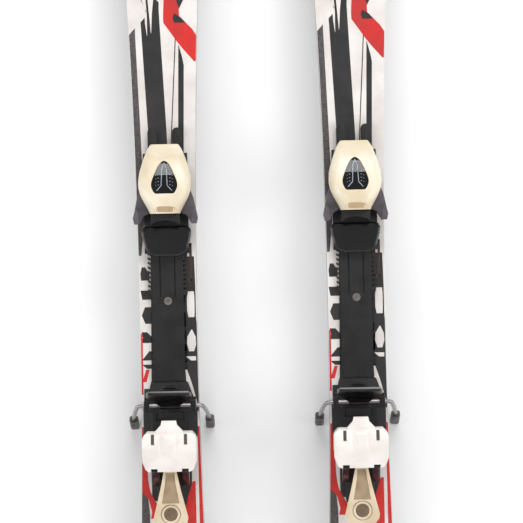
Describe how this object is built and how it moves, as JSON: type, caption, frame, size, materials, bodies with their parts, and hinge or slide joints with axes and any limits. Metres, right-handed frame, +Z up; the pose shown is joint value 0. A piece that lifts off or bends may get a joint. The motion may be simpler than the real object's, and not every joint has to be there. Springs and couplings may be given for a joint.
{
  "type": "pair of alpine skis with bindings",
  "caption": "Pair of short carving skis with step-in bindings: sprung toe wings, opening heel clamps with levers, sliding tracks and sprung ski brakes.",
  "frame": {"origin": "centre of the pair's box, on the surface that the lowest brake shoes stand on", "axes": "+X to the wearer's right across the skis, +Y towards the tips, +Z up from the running surfaces"},
  "size_m": [0.335, 1.4, 0.1385],
  "materials": {
    "base": "structured polyethylene running base",
    "edge": "ground steel edge",
    "core": "laminated wood core, hidden",
    "sidewall": "ABS sidewall",
    "topsheet": "printed polyamide topsheet",
    "black_plastic": "moulded glass-filled nylon",
    "gloss_black": "smooth moulded acetal",
    "grey_plastic": "moulded grey nylon",
    "white_plastic": "moulded off-white nylon",
    "cream_plastic": "aged off-white nylon",
    "clear": "clear polycarbonate window",
    "steel": "zinc-plated steel"
  },
  "bodies": {
    "left_ski": {"left_ski_base": "base", "left_ski_edges": "edge", "left_ski_core": "core", "left_ski_sidewalls": "sidewall", "left_ski_topsheet": "topsheet", "left_front_track": "black_plastic", "left_track_screws": "steel", "left_rear_track": "black_plastic"},
    "left_toe_unit": {"left_toe_base": "black_plastic", "left_toe_wing_pins": "steel", "left_toe_cover": "cream_plastic", "left_toe_window": "clear", "left_toe_spring": "steel", "left_toe_indicator": "grey_plastic", "left_afd_block": "gloss_black", "left_afd_pad": "gloss_black"},
    "left_toe_left_wing": {"left_toe_wing_left": "grey_plastic"},
    "left_toe_right_wing": {"left_toe_wing_right": "grey_plastic"},
    "left_toe_screw": {"left_toe_release_screw": "steel"},
    "left_heel_unit": {"left_heel_carriage": "gloss_black", "left_heel_housing_pins": "steel"},
    "left_heel_clamp": {"left_heel_housing": "white_plastic", "left_heel_lever_pin": "steel", "left_heel_spring": "steel", "left_heel_spring_nut": "steel"},
    "left_opening_lever": {"left_heel_lever": "cream_plastic"},
    "left_heel_screw": {"left_heel_release_screw": "steel"},
    "left_brake": {"left_brake_wire": "steel", "left_brake_shoes": "grey_plastic", "left_brake_pedal": "gloss_black"},
    "right_ski": {"right_ski_base": "base", "right_ski_edges": "edge", "right_ski_core": "core", "right_ski_sidewalls": "sidewall", "right_ski_topsheet": "topsheet", "right_front_track": "black_plastic", "right_track_screws": "steel", "right_rear_track": "black_plastic"},
    "right_toe_unit": {"right_toe_base": "black_plastic", "right_toe_wing_pins": "steel", "right_toe_cover": "cream_plastic", "right_toe_window": "clear", "right_toe_spring": "steel", "right_toe_indicator": "grey_plastic", "right_afd_block": "gloss_black", "right_afd_pad": "gloss_black"},
    "right_toe_left_wing": {"right_toe_wing_left": "grey_plastic"},
    "right_toe_right_wing": {"right_toe_wing_right": "grey_plastic"},
    "right_toe_screw": {"right_toe_release_screw": "steel"},
    "right_heel_unit": {"right_heel_carriage": "gloss_black", "right_heel_housing_pins": "steel"},
    "right_heel_clamp": {"right_heel_housing": "white_plastic", "right_heel_lever_pin": "steel", "right_heel_spring": "steel", "right_heel_spring_nut": "steel"},
    "right_opening_lever": {"right_heel_lever": "cream_plastic"},
    "right_heel_screw": {"right_heel_release_screw": "steel"},
    "right_brake": {"right_brake_wire": "steel", "right_brake_shoes": "grey_plastic", "right_brake_pedal": "gloss_black"}
  },
  "joints": [
    {"name": "left_toe_track_slide", "type": "slide", "parent": "left_ski", "child": "left_toe_unit", "axis": [0, 1, 0], "range_m": [-0.02, 0.01]},
    {"name": "left_toe_left_wing_pivot", "type": "hinge", "parent": "left_toe_unit", "child": "left_toe_left_wing", "pos_m": [-0.134, 0.07, 0.09247], "axis": [0, 0, -1], "range_deg": [0, 30], "stiffness_Nm_per_rad": 3, "springref_deg": -14.32},
    {"name": "left_toe_right_wing_pivot", "type": "hinge", "parent": "left_toe_unit", "child": "left_toe_right_wing", "pos_m": [-0.092, 0.07, 0.09247], "axis": [0, 0, 1], "range_deg": [0, 30], "stiffness_Nm_per_rad": 3, "springref_deg": -14.32},
    {"name": "left_toe_screw_turn", "type": "hinge", "parent": "left_toe_unit", "child": "left_toe_screw", "pos_m": [-0.113, 0.127, 0.08797], "axis": [0, 1, 0], "range_deg": [-1790, 1790]},
    {"name": "left_heel_track_slide", "type": "slide", "parent": "left_ski", "child": "left_heel_unit", "axis": [0, 1, 0], "range_m": [-0.012, 0.008]},
    {"name": "left_heel_clamp_pivot", "type": "hinge", "parent": "left_heel_unit", "child": "left_heel_clamp", "pos_m": [-0.113, -0.238, 0.10647], "axis": [-1, 0, 0], "range_deg": [0, 24]},
    {"name": "left_opening_lever_pivot", "type": "hinge", "parent": "left_heel_clamp", "child": "left_opening_lever", "pos_m": [-0.113, -0.236, 0.12147], "axis": [-1, 0, 0], "range_deg": [0, 22.5]},
    {"name": "left_heel_screw_turn", "type": "hinge", "parent": "left_heel_clamp", "child": "left_heel_screw", "pos_m": [-0.113, -0.245, 0.10747], "axis": [0, 1, 0], "range_deg": [-1700, 1150]},
    {"name": "left_brake_pivot", "type": "hinge", "parent": "left_heel_unit", "child": "left_brake", "pos_m": [-0.113, -0.17, 0.08047], "axis": [-1, 0, 0], "range_deg": [0, 70], "stiffness_Nm_per_rad": 1.5, "springref_deg": -74.48},
    {"name": "right_ski_lift", "type": "slide", "parent": "left_ski", "child": "right_ski", "axis": [0, 0, 1], "range_m": [0, 0.25]},
    {"name": "right_toe_track_slide", "type": "slide", "parent": "right_ski", "child": "right_toe_unit", "axis": [0, 1, 0], "range_m": [-0.02, 0.01]},
    {"name": "right_toe_left_wing_pivot", "type": "hinge", "parent": "right_toe_unit", "child": "right_toe_left_wing", "pos_m": [0.092, 0.07, 0.09247], "axis": [0, 0, -1], "range_deg": [0, 30], "stiffness_Nm_per_rad": 3, "springref_deg": -14.32},
    {"name": "right_toe_right_wing_pivot", "type": "hinge", "parent": "right_toe_unit", "child": "right_toe_right_wing", "pos_m": [0.134, 0.07, 0.09247], "axis": [0, 0, 1], "range_deg": [0, 30], "stiffness_Nm_per_rad": 3, "springref_deg": -14.32},
    {"name": "right_toe_screw_turn", "type": "hinge", "parent": "right_toe_unit", "child": "right_toe_screw", "pos_m": [0.113, 0.127, 0.08797], "axis": [0, 1, 0], "range_deg": [-1790, 1790]},
    {"name": "right_heel_track_slide", "type": "slide", "parent": "right_ski", "child": "right_heel_unit", "axis": [0, 1, 0], "range_m": [-0.012, 0.008]},
    {"name": "right_heel_clamp_pivot", "type": "hinge", "parent": "right_heel_unit", "child": "right_heel_clamp", "pos_m": [0.113, -0.238, 0.10647], "axis": [-1, 0, 0], "range_deg": [0, 24]},
    {"name": "right_opening_lever_pivot", "type": "hinge", "parent": "right_heel_clamp", "child": "right_opening_lever", "pos_m": [0.113, -0.236, 0.12147], "axis": [-1, 0, 0], "range_deg": [0, 22.5]},
    {"name": "right_heel_screw_turn", "type": "hinge", "parent": "right_heel_clamp", "child": "right_heel_screw", "pos_m": [0.113, -0.245, 0.10747], "axis": [0, 1, 0], "range_deg": [-1700, 1150]},
    {"name": "right_brake_pivot", "type": "hinge", "parent": "right_heel_unit", "child": "right_brake", "pos_m": [0.113, -0.17, 0.08047], "axis": [-1, 0, 0], "range_deg": [0, 70], "stiffness_Nm_per_rad": 1.5, "springref_deg": -74.48}
  ],
  "couplings": [
    {"joint": "left_opening_lever_pivot", "follows": "left_heel_clamp_pivot", "ratio": 0.91667},
    {"joint": "right_opening_lever_pivot", "follows": "right_heel_clamp_pivot", "ratio": 0.91667}
  ]
}
